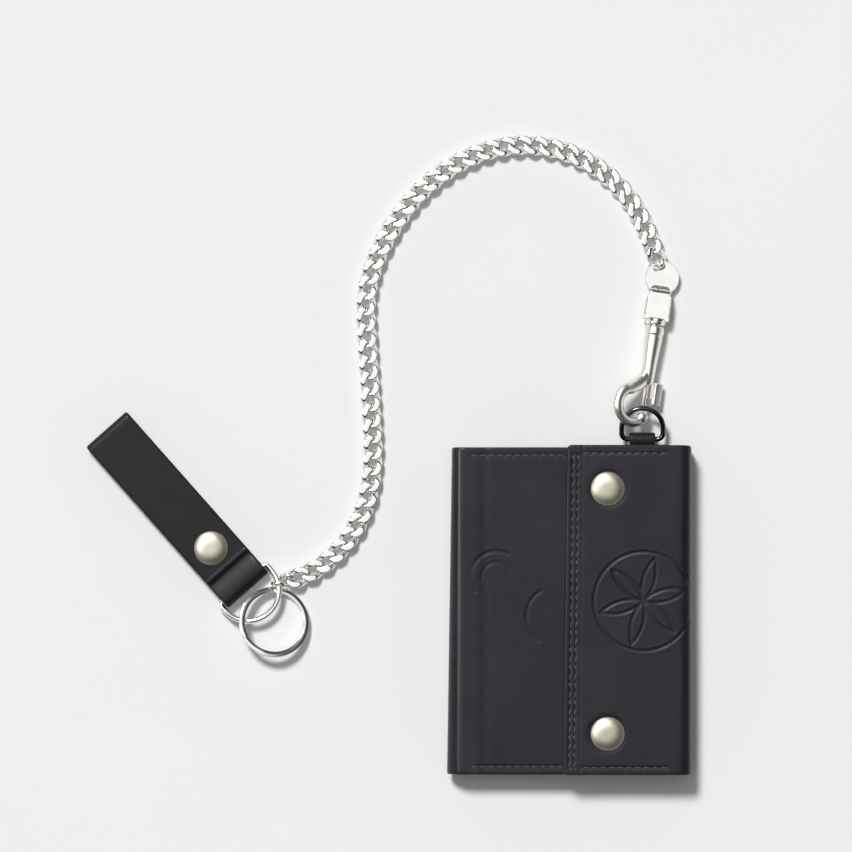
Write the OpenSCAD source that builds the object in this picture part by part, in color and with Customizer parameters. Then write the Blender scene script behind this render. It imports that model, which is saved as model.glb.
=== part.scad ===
// Trifold chain wallet: leather wallet, D-ring, swivel bolt snap, curb chain,
// belt ring, key ring and a belt strap that closes with a press snap.
// Millimetres, +Z up. The origin is the centre of the wallet's back face.

/* [Wallet] */
// Width of the closed wallet across its two folds
wallet_w = 85; // [78:1:104]
// Height of the wallet along its folds
wallet_h = 115; // [108:1:140]
// Thickness of the outer leather
leather = 1.6; // [1.2:0.1:2]
// Thickness of the thin lining
lining = 0.4; // [0.3:0.1:0.6]
// Thickness of the pocket leather
pocket = 0.8; // [0.6:0.1:1]
// Room for notes in the bill compartment
bill_room = 1; // [0.6:0.1:2]
// Room in the stash pocket behind the leaf
stash_room = 0.8; // [0.7:0.1:2]
// Air between the leaf pockets and the centre pockets
page_gap = 0.6; // [0.4:0.1:1.5]
// Straight leather between each fold line and its round edge
fold_flat = 1; // [0.5:0.1:2]
// Distance from the wallet's middle to the leaf's free edge
leaf_reach = 18.5; // [18:0.5:20]
// Distance from the wallet's middle to the flap's free edge, to the left
flap_reach = 2; // [0:0.5:8]
// Step from one card pocket's mouth to the next
pocket_step = 13; // [9:1:16]
// Width of the sewn border round each compartment
seam = 4; // [3:0.5:6]

/* [Snaps] */
// Diameter of a snap's cap
cap_d = 12; // [11:0.5:13]
// Height of a cap's dome
cap_h = 1.5; // [1:0.1:2]
// Distance from the wallet's middle to the snaps, to the right
snap_x = 13; // [11:0.5:13]
// Distance between the two snaps, along the folds
snap_spacing = 86; // [70:1:90]
// Diameter of a stud's head
stud_d = 3.8; // [3.4:0.1:4]
// Air between a leather layer and the one snapped to it
snap_gap = 0.9; // [0.9:0.1:1.4]
// How far a stud's head reaches into its socket
snap_grip = 0.7; // [0.5:0.1:0.8]

/* [Wallet ring] */
// Distance from the wallet's middle to the ring tab's middle, to the right
tab_x = 25.5; // [22:0.5:26]
// Width of the ring tab
tab_w = 9; // [7:0.5:10]
// Wire diameter of the wallet's D-ring
ring_wire = 1.8; // [1.6:0.1:2]
// Distance between the D-ring's two long sides, between wire centres
ring_w = 14.6; // [13:0.2:16]
// Distance from the D-ring's bar to the far side of its bow
ring_h = 11.2; // [10:0.2:12]
// Upward slope of the D-ring from its bar
ring_tilt = 13.5; // [11:0.5:16]

/* [Bolt snap] */
// Length of the snap from its collar to the middle of its crook
hook_l = 28.5; // [27.5:0.1:30]
// Radius of the crook's centre line
crook_r = 6; // [5.6:0.1:6.4]
// Diameter of the crook's bar
crook_d = 2.7; // [2.3:0.1:3]
// Diameter of the stem at the collar
stem_d = 6.8; // [6.4:0.1:7.2]
// Diameter of the stem at the crook
stem_end_d = 4.6; // [4.4:0.1:5]
// Diameter of the sliding bolt
bolt_d = 1.5; // [1.3:0.1:1.7]
// Travel of the sliding bolt
bolt_travel = 5.5; // [4:0.5:6]
// Roll of the snap about its own length
hook_roll = 31; // [28:1:34]
// Width of the swivel eye
eye_w = 10; // [9:0.5:11]
// Thickness of the swivel eye's band
eye_band = 0.9; // [0.8:0.1:1]

/* [Chain] */
// Distance from one link's middle to the next
pitch = 5.65; // [5.4:0.05:6.2]
// Wire diameter of a link
link_wire = 1.6; // [1.4:0.05:1.65]
// Width of a link over its two sides
link_w = 6; // [5.8:0.1:6.6]
// Slack between two links that are pulled apart
link_slack = 0.3; // [0.25:0.05:0.5]
// Diameter of the end disc
disc_d = 12; // [11.5:0.1:14]
// Thickness of the end disc
disc_t = 0.9; // [0.8:0.1:1.1]

/* [Belt end] */
// Length of the closed belt strap
strap_l = 75.8; // [60:1:90]
// Width of the belt strap
strap_w = 19; // [16:0.5:20]
// Thickness of the strap leather
strap_t = 1.8; // [1.6:0.1:2]
// Wire diameter of the belt ring
belt_wire = 2; // [1.8:0.1:2.2]
// Width of the belt ring over its wire centres
belt_ring_w = 21.8; // [21.4:0.2:24]
// Outer diameter of the key ring
key_ring_d = 25; // [24:0.5:30]
// Width of the key ring's flat wire
key_band = 2; // [1.6:0.1:2.2]
// Thickness of one turn of the key ring
key_turn = 0.9; // [0.8:0.1:1]

/* [Hidden] */
$fn = 48;
tiny = 0.01;
running = 0.05;
links_per_piece = 3;
pieces = 16;

// heights in the closed wallet, from the table up
z_back_lining = leather;
z_bill = z_back_lining + lining;
z_inner = z_bill + bill_room;
z_pockets = z_inner + pocket;
centre_pockets = 3;
leaf_pockets = 2;
z_leaf = z_pockets + centre_pockets * pocket + page_gap;
z_leaf_lining = z_leaf + leaf_pockets * pocket;
z_leaf_shell = z_leaf_lining + pocket + stash_room;
z_leaf_top = z_leaf_shell + leather;
z_flap = z_leaf_top + snap_gap;
z_flap_shell = z_flap + lining;
z_flap_top = z_flap_shell + leather;

// fold lines
left_r = z_leaf_top / 2;
right_r = z_flap_top / 2;
x_left_fold = -wallet_w / 2 + left_r + fold_flat;
x_right_fold = wallet_w / 2 - right_r - fold_flat;
inner_margin = 0.5;
leaf_seam = 1;
x_in = x_left_fold + inner_margin;
x_out = x_right_fold - inner_margin;

// snaps
flange = 0.4;
flange_r = 4;
stud_flange = 0.3;
stud_flange_r = 4.4;
stud_neck = 0.3;
stud_head = 0.6;
post_r = 1;
post_air = 0.3;
socket_play = 0.8;
socket_wall = 0.6;
socket_roof = 0.4;
socket_bore = snap_grip + 0.5;
socket_depth = socket_bore + socket_roof;
socket_flange_r = 4.8;
socket_r = stud_d / 2 + socket_play + socket_wall;
snap_points = [[snap_x, snap_spacing / 2], [snap_x, -snap_spacing / 2]];

// tab and wallet ring
tab_leather = 1.2;
tab_air = 0.25;
tab_loop_r = ring_wire / 2 + tab_air + tab_leather;
tab_pivot = [tab_x, wallet_h / 2 + tab_loop_r + 0.5, z_pockets + tab_leather];
mouth_y = wallet_h / 2 - 14;
tab_foot = mouth_y + 1.5;
ring_foot = 2.2;

// chain plane, swivel eye and disc
z_chain = 2.45;
z_disc = 2.55;
eye_gap = 2.6;
eye_leg = 11.6;
collar_gap = 0.4;
slot_reach = 4;
slot_half = 1.25;
link_slot_l = 2.3;
eye_slot_half = 1.15;
eye_slot_l = 3.2;
disc_from_tab = [7.1, 59.7];
disc_centre = [tab_x + disc_from_tab[0], wallet_h / 2 + disc_from_tab[1], z_disc];
hook_yaw = -8.5;
hook_pitch = 4;
eye_to_disc = eye_leg + eye_gap / 2 + eye_band / 2 + slot_reach;
hook_axis = [-sin(hook_yaw) * cos(hook_pitch), cos(hook_yaw) * cos(hook_pitch), -sin(hook_pitch)];
hook_origin = disc_centre - eye_to_disc * hook_axis;

// crook, in the snap's own frame: y runs along the stem, towards the disc
crook_x = -4.3;
stem_l = 18;
tip_angle = 316;
tip = [crook_x + crook_r * cos(tip_angle), -hook_l + crook_r * sin(tip_angle)];
tip_r = 1.75;
bolt_end = tip[1] + tip_r + 0.1;
bolt_top = -12.4;
bolt_head = 1;
bolt_head_r = 1.28;
spring_solid = 2.3;
spring_top = bolt_top + bolt_travel + spring_solid;
chamber_r = 1.35;
spring_r = 1.2;
spring_wire = 0.35;
guide_y = -stem_l + 3.5;
thumb = [3.2, 8, 3.2];
thumb_x = 2.9;
thumb_y = bolt_end + 3.2;
neck_angle = 118;
neck = [crook_x + crook_r * cos(neck_angle), -hook_l + crook_r * sin(neck_angle), 0];

// swivel pin and its collar
collar_r = 3.4;
collar_top = 2.4;
pin_r = 1.4;
pin_head = [-3.4, -2.4];
pin_head_r = 1.85;
pin_air = 0.2;
eye_bar_w = 5.6;

// chain route: runs of [number of links, turn of each link to the left]
first_heading = 106;
runs = [[1, 0], [3, 4], [12, 7.1], [5, 5.4], [4, 4.2], [4, 6.6], [7, 0], [3, -3.5], [4, -7], [5, -8.6]];
rise_step = 3;
turns = [for (r = runs) for (i = [1 : r[0]]) r[1]];
link_count = pieces * links_per_piece;
function heading(i) = i == 0 ? first_heading : heading(i - 1) + turns[i];
function slope(i) = max(0, i - link_count + links_per_piece + 1) * rise_step;
function ahead(a, up = 0) = [cos(a) * cos(up), sin(a) * cos(up), sin(up)];
link_a = (pitch + link_wire + link_slack) / 2;
link_b = (link_w - link_wire) / 2;
slot_hold = 0.43;
disc_turn = first_heading - 90;
disc_slot = disc_centre + slot_reach * ahead(first_heading);
first_link = [disc_slot[0], disc_slot[1], z_chain] + (link_a - slot_hold) * ahead(first_heading);
function place(i) = i == 0 ? first_link
    : place(i - 1) + pitch / 2 * (ahead(heading(i - 1), slope(i - 1)) + ahead(heading(i), slope(i)));

// one twisted link: a round-ended loop, and its roll at shares of the half length
link_roll = [[-1, -45], [-0.42, -27.6], [0, 0], [0.42, 27.6], [1, 45]];
disc_roll = [[-1, -62], [-0.7, -60], [-0.42, -48], [0, 0], [0.42, 27.6], [1, 45]];
ring_roll = [[-1, -45], [-0.42, -20], [0, 40], [0.3, 88], [1, 88]];
wire_sides = 6;
function flat_loop() = [
    for (a = [-90 : 30 : 90]) [link_a - link_b + link_b * cos(a), link_b * sin(a)],
    [0, link_b],
    for (a = [90 : 30 : 270]) [-link_a + link_b + link_b * cos(a), link_b * sin(a)],
    [0, -link_b]
];
function rolled(p, roll) = let (t = lookup(p[0] / link_a, roll)) [p[0], p[1] * cos(t), p[1] * sin(t)];
function unit(v) = v / norm(v);
function link_rings(roll) = let (flat = flat_loop(), n = len(flat), c = [for (p = flat) rolled(p, roll)])
    [for (k = [0 : n - 1])
        let (t = unit(c[(k + 1) % n] - c[(k + n - 1) % n]), side = unit(cross(t, cross([0, 0, 1], t))),
            other = cross(t, side))
        for (j = [0 : wire_sides - 1])
            let (a = 360 * j / wire_sides)
            c[k] + link_wire / 2 * (cos(a) * side + sin(a) * other)];
function link_faces(n) = [
    for (k = [0 : n - 1]) for (j = [0 : wire_sides - 1])
        let (k2 = (k + 1) % n, j2 = (j + 1) % wire_sides, s = wire_sides)
        each [[k * s + j, k2 * s + j2, k * s + j2], [k * s + j, k2 * s + j, k2 * s + j2]]];

// belt end
last_link = place(link_count - 1);
belt_bearing = 194;
belt_ring_r = belt_ring_w / 2;
belt_slack = 0.25;
belt_foot = 1.2;
belt_hold = last_link + (link_a - link_wire / 2 - belt_wire / 2 - belt_slack)
    * ahead(heading(link_count - 1), slope(link_count - 1));
belt_centre = belt_hold + belt_ring_r * ahead(belt_bearing);
strap_heading = -48.5;
strap_z = strap_t + snap_gap;
strap_top = strap_z + strap_t;
strap_air = 0.2;
strap_pin_r = belt_wire / 2 + strap_air + strap_t;
fold_gap = 0.1;
strap_end = 11.2;
strap_snap = 19.9;
key_offset = [9, -11.2];
key_swing = 38;
key_air = 0.4;
crossings = 16.7;
hold_x = belt_ring_r * cos(belt_bearing - 180 - strap_heading);
belt_tilt = atan((belt_hold[2] - strap_pin_r) / (hold_x + strap_pin_r));
key_tilt = asin((2 * key_turn + belt_wire + 2 * key_air) / crossings);
key_mid = 7.3;
key_z = strap_pin_r + (key_mid + strap_pin_r) * tan(belt_tilt);
key_r = key_ring_d / 2 - key_band / 2;

leather_colour = [0.17, 0.16, 0.19];
lining_colour = [0.12, 0.12, 0.13];
nickel = [0.86, 0.86, 0.84];
satin = [0.75, 0.74, 0.68];
dark_nickel = [0.25, 0.25, 0.26];

// a sheet of the wallet's height from x0 to x1 and from z0 to z1
module sheet(x0, x1, z0, z1, y0 = -wallet_h / 2, y1 = wallet_h / 2) {
    translate([x0, y0, z0]) cube([x1 - x0, y1 - y0, z1 - z0]);
}

// a half-round fold of outer radius r, with its flats, that bulges towards +X
module fold(r) {
    translate([0, 0, r]) rotate([90, 0, 0]) linear_extrude(height = wallet_h, center = true)
        difference() {
            union() {
                translate([fold_flat, 0]) circle(r = r, $fn = 96);
                translate([0, -r]) square([fold_flat, 2 * r]);
            }
            translate([fold_flat, 0]) circle(r = r - leather, $fn = 96);
            translate([-r, -r + leather]) square([r + fold_flat, 2 * (r - leather)]);
            translate([fold_flat - 2 * r, -2 * r]) square([2 * r - fold_flat, 4 * r]);
        }
}

module at_snaps() {
    for (p = snap_points) translate([p[0], p[1], 0]) children();
}

// seen from the table up: rivet, stud, socket and cap of one press snap
module snap_rivet(z, hold) {
    translate([0, 0, z - flange]) cylinder(h = flange, r = flange_r);
    translate([0, 0, z - tiny]) cylinder(h = hold + stud_flange, r = post_r);
}
module snap_stud(z) {
    top = z + snap_gap - flange + snap_grip;
    difference() {
        union() {
            translate([0, 0, z]) cylinder(h = stud_flange, r = stud_flange_r);
            translate([0, 0, z]) cylinder(h = top - z, r = stud_d / 2 - stud_neck);
            translate([0, 0, top - stud_head]) cylinder(h = stud_head, r = stud_d / 2);
        }
        translate([0, 0, z - tiny]) cylinder(h = stud_flange + tiny, r = post_r);
    }
}
module snap_socket(z) {
    difference() {
        union() {
            translate([0, 0, z - flange]) cylinder(h = flange, r = socket_flange_r);
            translate([0, 0, z - tiny]) cylinder(h = socket_depth, r = socket_r);
        }
        translate([0, 0, z - flange - tiny])
            cylinder(h = socket_bore + tiny, r = stud_d / 2 + socket_play);
        cylinder(h = z + 10, r = post_r + running);
    }
}
module snap_cap(z, depth) {
    r = cap_d / 2;
    ball = (r * r + cap_h * cap_h) / (2 * cap_h);
    rim = 0.4;
    intersection() {
        translate([0, 0, z + cap_h - ball]) sphere(r = ball, $fn = 96);
        translate([0, 0, z]) cylinder(h = cap_h, r = r - 0.1);
    }
    translate([0, 0, z]) cylinder(h = rim, r = r, $fn = 96);
    translate([0, 0, z - depth]) cylinder(h = depth + tiny, r = post_r);
}
// the hole that a socket and a cap's post take in a layer whose lower face is at z
module socket_hole(z, thick) {
    translate([0, 0, z - 1]) cylinder(h = 1 + socket_depth, r = socket_r);
    translate([0, 0, z]) cylinder(h = thick + 1, r = post_r);
}
module back_shell() {
    color(leather_colour) sheet(x_left_fold, x_right_fold, 0, leather);
}
module back_lining() {
    color(lining_colour) sheet(x_in, x_out, z_back_lining, z_bill);
}
module inner_panel() {
    low = -wallet_h / 2;
    z1 = z_inner + tiny;
    color(leather_colour) {
        sheet(x_in, x_out, z_inner, z_pockets);
        sheet(x_in, x_in + seam, z_bill, z1);
        sheet(x_out - seam, x_out, z_bill, z1);
        sheet(x_in, x_out, z_bill, z1, low, low + seam);
    }
}
module centre_pocket(i) {
    z = z_pockets + (i - 1) * pocket;
    color(leather_colour)
        sheet(x_in, x_out, z, z + pocket, -wallet_h / 2, mouth_y - (i - 1) * pocket_step);
}
module ring_tab() {
    color(leather_colour) difference() {
        union() {
            translate([tab_x - tab_w / 2, tab_foot, z_pockets])
                cube([tab_w, tab_pivot[1] - tab_foot, 2 * tab_leather]);
            translate(tab_pivot) rotate([0, 90, 0]) cylinder(h = tab_w, r = tab_loop_r, center = true);
        }
        translate(tab_pivot) rotate([0, 90, 0])
            cylinder(h = tab_w + 2, r = tab_loop_r - tab_leather, center = true);
    }
}
module left_spine() {
    color(leather_colour) translate([x_left_fold, 0, 0]) mirror([1, 0, 0]) fold(left_r);
}
module leaf_shell() {
    color(leather_colour) difference() {
        sheet(x_left_fold, leaf_reach, z_leaf_shell, z_leaf_top);
        at_snaps() translate([0, 0, z_leaf_shell - 1]) cylinder(h = leather + 2, r = post_r);
    }
}
module leaf_lining() {
    low = -wallet_h / 2;
    z0 = z_leaf_lining + pocket - tiny;
    color(leather_colour) {
        sheet(x_in, leaf_reach, z_leaf_lining, z_leaf_lining + pocket);
        sheet(x_in, x_in + seam, z0, z_leaf_shell);
        sheet(leaf_reach - leaf_seam, leaf_reach, z0, z_leaf_shell);
        sheet(x_in, leaf_reach, z0, z_leaf_shell, low, low + seam);
    }
}
module leaf_pocket(i) {
    z = z_leaf_lining - i * pocket;
    color(leather_colour)
        sheet(x_in, leaf_reach, z, z + pocket, -wallet_h / 2, mouth_y - (i - 1) * pocket_step);
}
module snap_studs() {
    color(satin) at_snaps() snap_stud(z_leaf_top);
}
module stud_rivets() {
    color(satin) at_snaps() snap_rivet(z_leaf_shell, leather);
}
module right_spine() {
    color(leather_colour) translate([x_right_fold, 0, 0]) fold(right_r);
}
module flap_shell() {
    color(leather_colour) difference() {
        sheet(-flap_reach, x_right_fold, z_flap_shell, z_flap_top);
        at_snaps() socket_hole(z_flap, z_flap_top - z_flap);
    }
}
module flap_lining() {
    color(lining_colour) difference() {
        sheet(-flap_reach, x_out, z_flap, z_flap_shell);
        at_snaps() socket_hole(z_flap, z_flap_top - z_flap);
    }
}
module snap_caps() {
    color(satin) at_snaps() snap_cap(z_flap_top, z_flap_top - z_flap - socket_depth + post_air);
}
module snap_sockets() {
    color(satin) at_snaps() snap_socket(z_flap);
}

// a D of round wire: a bar along Y through the origin and a bow towards +X
module d_ring(w, h, wire, foot) {
    r = w / 2;
    rotate([90, 0, 0]) cylinder(h = w - 2 * foot, r = wire / 2, center = true);
    for (s = [-1, 1]) {
        translate([foot, s * (r - foot), 0]) rotate([0, 0, s > 0 ? 90 : 180])
            rotate_extrude(angle = 90) translate([foot, 0]) circle(r = wire / 2, $fn = 24);
        translate([foot - tiny, s * r, 0]) rotate([0, 90, 0])
            cylinder(h = h - r - foot + 2 * tiny, r = wire / 2);
    }
    translate([h - r, 0, 0]) rotate([0, 0, -90])
        rotate_extrude(angle = 180) translate([r, 0]) circle(r = wire / 2, $fn = 24);
}

module wallet_ring() {
    color(dark_nickel) translate(tab_pivot) rotate([ring_tilt, 0, 0]) rotate([0, 0, 90])
        d_ring(ring_w, ring_h, ring_wire, ring_foot);
}

// the snap's frame, with and without its roll
module on_axis() {
    translate(hook_origin) rotate([0, 0, hook_yaw]) rotate([-hook_pitch, 0, 0]) children();
}
module in_hook() {
    on_axis() rotate([0, hook_roll, 0]) children();
}
// a cylinder or cone along the snap's own y
module along(y0, y1, r0, r1) {
    translate([0, y0, 0]) rotate([-90, 0, 0]) cylinder(h = y1 - y0, r1 = r0, r2 = r1);
}

module hook_body() {
    color(nickel) in_hook() difference() {
        union() {
            along(-stem_l, 0, stem_end_d / 2, stem_d / 2);
            hull() {
                translate([0, -stem_l + 2.4, 0]) sphere(r = stem_end_d / 2 - 0.2, $fn = 32);
                translate(neck) sphere(r = crook_d / 2 + 0.1, $fn = 32);
            }
            translate([crook_x, -hook_l, 0]) rotate([0, 0, neck_angle])
                rotate_extrude(angle = tip_angle - neck_angle)
                    translate([crook_r, 0]) circle(r = crook_d / 2, $fn = 32);
            translate([tip[0], tip[1], 0]) sphere(r = tip_r, $fn = 32);
        }
        // bolt guide, spring chamber, and the seat of the swivel pin's head
        along(-stem_l - 6, guide_y + 0.1, bolt_d / 2 + running, bolt_d / 2 + running);
        along(guide_y, spring_top, chamber_r, chamber_r);
        along(pin_head[0] - pin_air, pin_head[1] + pin_air, pin_head_r + 0.15, pin_head_r + 0.15);
        along(pin_head[1], 1, pin_r + running, pin_r + running);
    }
}
module hook_bolt() {
    r = bolt_d / 2;
    ribs = 4;
    rib_step = 1.8;
    color(nickel) in_hook() {
        along(bolt_end, bolt_top, r, r);
        along(bolt_top - bolt_head, bolt_top, bolt_head_r, bolt_head_r);
        translate([0, thumb_y + 0.2, -0.8]) cube([thumb_x + 0.9, 2.2, 1.6]);
        difference() {
            translate([thumb_x, thumb_y, -thumb[2] / 2]) cube(thumb);
            for (k = [0 : ribs - 1])
                translate([thumb_x + thumb[0], thumb_y + 1.4 + k * rib_step, -thumb[2]])
                    cylinder(h = 2 * thumb[2], r = 0.5, $fn = 24);
        }
    }
}
module bolt_spring() {
    color([0.6, 0.6, 0.62]) in_hook() difference() {
        along(bolt_top, spring_top, spring_r, spring_r);
        along(bolt_top - 1, spring_top + 1, spring_r - spring_wire, spring_r - spring_wire);
    }
}
module swivel_eye() {
    r_in = eye_gap / 2;
    r_out = r_in + eye_band;
    half = eye_w / 2;
    bar = eye_bar_w / 2;
    shoulder = eye_leg - 2.6;
    color(nickel) on_axis() {
        along(collar_gap, collar_top, collar_r, collar_r);
        along(pin_head[1], collar_gap + tiny, pin_r, pin_r);
        along(pin_head[0], pin_head[1] + tiny, pin_head_r, pin_head_r);
        for (s = [-1, 1]) translate([0, 0, s * (r_in + r_out) / 2 - eye_band / 2])
            linear_extrude(height = eye_band)
                polygon([[-collar_r, 2], [-half, collar_r], [-half, shoulder], [-bar, eye_leg],
                    [bar, eye_leg], [half, shoulder], [half, collar_r], [collar_r, 2]]);
        translate([-half + 0.4, 2.2, -r_in - tiny]) cube([eye_w - 0.8, 1.6, eye_gap + 2 * tiny]);
        translate([0, eye_leg, 0]) rotate([0, 90, 0]) linear_extrude(height = 2 * bar, center = true)
            difference() {
                circle(r = r_out);
                circle(r = r_in);
                translate([-r_out - 1, -2 * r_out]) square([2 * r_out + 2, 2 * r_out]);
            }
    }
}
module slot(half_l, half_w) {
    hull() for (s = [-1, 1]) translate([s * (half_l - half_w), 0])
        circle(r = half_w, $fn = 32);
}
module end_disc() {
    r = disc_d / 2;
    edge = 0.3;
    color(nickel) translate(disc_centre) difference() {
        translate([0, 0, -disc_t / 2]) {
            cylinder(h = disc_t - edge, r = r, $fn = 96);
            translate([0, 0, disc_t - edge - tiny])
                cylinder(h = edge + tiny, r1 = r, r2 = r - edge, $fn = 96);
        }
        rotate([0, 0, disc_turn]) translate([0, slot_reach, -2])
            linear_extrude(height = 4) slot(link_slot_l, slot_half);
        rotate([0, 0, hook_yaw]) translate([0, -slot_reach, -2])
            linear_extrude(height = 4) slot(eye_slot_l, eye_slot_half);
    }
}

// the two end links are rolled further, to stand across the disc and the belt ring
module chain_link(i) {
    roll = i == 0 ? disc_roll : i == link_count - 1 ? ring_roll : link_roll;
    polyhedron(points = link_rings(roll), faces = link_faces(len(flat_loop())), convexity = 4);
}
module chain_piece(n) {
    color(nickel) for (k = [0 : links_per_piece - 1]) {
        i = (n - 1) * links_per_piece + k;
        translate(place(i)) rotate([0, -slope(i), heading(i)]) chain_link(i);
    }
}

// the belt end's frame: x runs along the strap towards the ring, from the ring's middle
module in_belt() {
    translate([belt_centre[0], belt_centre[1], 0]) rotate([0, 0, strap_heading]) children();
}
module belt_ring() {
    color(nickel) in_belt() translate([-strap_pin_r, 0, strap_pin_r]) rotate([0, -belt_tilt, 0])
        d_ring(belt_ring_w, belt_ring_r + strap_pin_r, belt_wire, belt_foot);
}
module key_ring() {
    color(nickel) translate([belt_centre[0] + key_offset[0], belt_centre[1] + key_offset[1], key_z])
        rotate([0, key_tilt, key_swing])
            rotate_extrude($fn = 96) translate([key_r - key_band / 2, -key_turn])
                square([key_band, 2 * key_turn]);
}
module strap_back() {
    color(leather_colour) in_belt() difference() {
        union() {
            translate([-strap_l, -strap_w / 2, 0]) cube([strap_l - strap_pin_r, strap_w, strap_t]);
            translate([-strap_l, -strap_w / 2, 0]) cube([strap_t, strap_w, strap_top / 2 - fold_gap]);
            translate([-strap_end + strap_air, -strap_w / 2, strap_t - tiny])
                cube([strap_end - strap_pin_r, strap_w, strap_t]);
            translate([-strap_pin_r, 0, strap_pin_r]) rotate([90, 0, 0])
                cylinder(h = strap_w, r = strap_pin_r, center = true);
        }
        translate([-strap_pin_r, 0, strap_pin_r]) rotate([90, 0, 0])
            cylinder(h = strap_w + 2, r = strap_pin_r - strap_t, center = true);
        translate([-strap_snap, 0, -1]) cylinder(h = 1 + flange, r = flange_r);
        translate([-strap_snap, 0, -1]) cylinder(h = strap_t + 2, r = post_r);
    }
}
module strap_front() {
    color(leather_colour) in_belt() difference() {
        union() {
            translate([-strap_l, -strap_w / 2, strap_z]) cube([strap_l - strap_end, strap_w, strap_t]);
            translate([-strap_l, -strap_w / 2, strap_top / 2])
                cube([strap_t, strap_w, strap_top / 2 - strap_t + tiny]);
        }
        translate([-strap_snap, 0, 0]) socket_hole(strap_z, strap_t);
    }
}
module belt_cap() {
    color(satin) in_belt() translate([-strap_snap, 0, 0])
        snap_cap(strap_top, strap_t - socket_depth + post_air);
}
module belt_socket() {
    color(satin) in_belt() translate([-strap_snap, 0, 0]) snap_socket(strap_z);
}
module belt_stud() {
    color(satin) in_belt() translate([-strap_snap, 0, 0]) snap_stud(strap_t);
}
module belt_rivet() {
    color(satin) in_belt() translate([-strap_snap, 0, 0]) snap_rivet(flange, strap_t - flange);
}

back_shell();
back_lining();
inner_panel();
centre_pocket(1);  // centre_pocket_1
centre_pocket(2);  // centre_pocket_2
centre_pocket(3);  // centre_pocket_3
ring_tab();
left_spine();
leaf_shell();
leaf_lining();
leaf_pocket(1);  // leaf_pocket_1
leaf_pocket(2);  // leaf_pocket_2
snap_studs();
stud_rivets();
right_spine();
flap_shell();
flap_lining();
snap_caps();
snap_sockets();
wallet_ring();
hook_body();
hook_bolt();
bolt_spring();
swivel_eye();
end_disc();
chain_piece(1);  // chain_1
chain_piece(2);  // chain_2
chain_piece(3);  // chain_3
chain_piece(4);  // chain_4
chain_piece(5);  // chain_5
chain_piece(6);  // chain_6
chain_piece(7);  // chain_7
chain_piece(8);  // chain_8
chain_piece(9);  // chain_9
chain_piece(10);  // chain_10
chain_piece(11);  // chain_11
chain_piece(12);  // chain_12
chain_piece(13);  // chain_13
chain_piece(14);  // chain_14
chain_piece(15);  // chain_15
chain_piece(16);  // chain_16
belt_ring();
key_ring();
strap_back();
strap_front();
belt_cap();
belt_socket();
belt_stud();
belt_rivet();
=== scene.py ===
import math

import bpy
import numpy as np
from mathutils import Matrix, Vector


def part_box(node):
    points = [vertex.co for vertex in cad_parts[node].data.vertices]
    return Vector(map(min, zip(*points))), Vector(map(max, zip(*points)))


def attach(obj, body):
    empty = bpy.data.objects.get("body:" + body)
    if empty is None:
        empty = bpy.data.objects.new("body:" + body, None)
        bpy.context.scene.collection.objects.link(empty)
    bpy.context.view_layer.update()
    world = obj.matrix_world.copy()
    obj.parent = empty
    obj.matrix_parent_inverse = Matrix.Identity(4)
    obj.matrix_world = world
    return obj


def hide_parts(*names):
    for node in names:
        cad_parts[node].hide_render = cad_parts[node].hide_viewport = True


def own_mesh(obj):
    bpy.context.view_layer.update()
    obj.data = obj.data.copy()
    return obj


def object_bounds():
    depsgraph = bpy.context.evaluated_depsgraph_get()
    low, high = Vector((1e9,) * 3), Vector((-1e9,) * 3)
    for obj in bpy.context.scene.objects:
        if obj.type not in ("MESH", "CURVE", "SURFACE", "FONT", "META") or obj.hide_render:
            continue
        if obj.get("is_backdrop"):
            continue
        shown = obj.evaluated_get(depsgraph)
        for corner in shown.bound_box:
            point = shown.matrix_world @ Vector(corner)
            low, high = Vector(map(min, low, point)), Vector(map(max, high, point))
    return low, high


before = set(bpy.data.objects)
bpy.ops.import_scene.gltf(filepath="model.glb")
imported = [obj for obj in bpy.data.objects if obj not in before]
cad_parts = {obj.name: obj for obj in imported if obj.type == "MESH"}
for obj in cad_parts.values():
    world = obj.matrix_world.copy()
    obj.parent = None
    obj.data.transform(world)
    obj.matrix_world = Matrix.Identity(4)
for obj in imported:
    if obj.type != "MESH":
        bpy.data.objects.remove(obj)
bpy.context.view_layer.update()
MM = 0.001
pi = math.pi


def mm_box(node):
    lo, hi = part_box(node)
    return np.array(lo) / MM, np.array(hi) / MM


# ---------------------------------------------------------------- materials
def nodes_of(name, base, metallic=0.0, rough=0.5, **sockets):
    m = bpy.data.materials.new(name)
    m.use_nodes = True
    t = m.node_tree
    b = t.nodes["Principled BSDF"]
    b.inputs["Base Color"].default_value = (*base, 1)
    b.inputs["Metallic"].default_value = metallic
    b.inputs["Roughness"].default_value = rough
    for k, v in sockets.items():
        b.inputs[k.replace("_", " ")].default_value = v
    co = t.nodes.new("ShaderNodeTexCoord")
    return m, t, b, co.outputs["Object"]


def texture(t, kind, vector, scale, **props):
    n = t.nodes.new(kind)
    t.links.new(vector, n.inputs["Vector"])
    n.inputs["Scale"].default_value = scale
    for k, v in props.items():
        if k in n.inputs:
            n.inputs[k].default_value = v
        else:
            setattr(n, k, v)
    return n


def ramp(t, value, stops):
    r = t.nodes.new("ShaderNodeValToRGB")
    t.links.new(value, r.inputs["Fac"])
    e = r.color_ramp.elements
    while len(e) < len(stops):
        e.new(0.5)
    for i, (p, c) in enumerate(stops):
        e[i].position = p
        e[i].color = (*c, 1) if hasattr(c, "__len__") else (c, c, c, 1)
    return r.outputs["Color"]


def math_node(t, op, a, b):
    n = t.nodes.new("ShaderNodeMath")
    n.operation = op
    for i, x in enumerate((a, b)):
        if isinstance(x, (int, float)):
            n.inputs[i].default_value = x
        else:
            t.links.new(x, n.inputs[i])
    return n.outputs["Value"]


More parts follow.
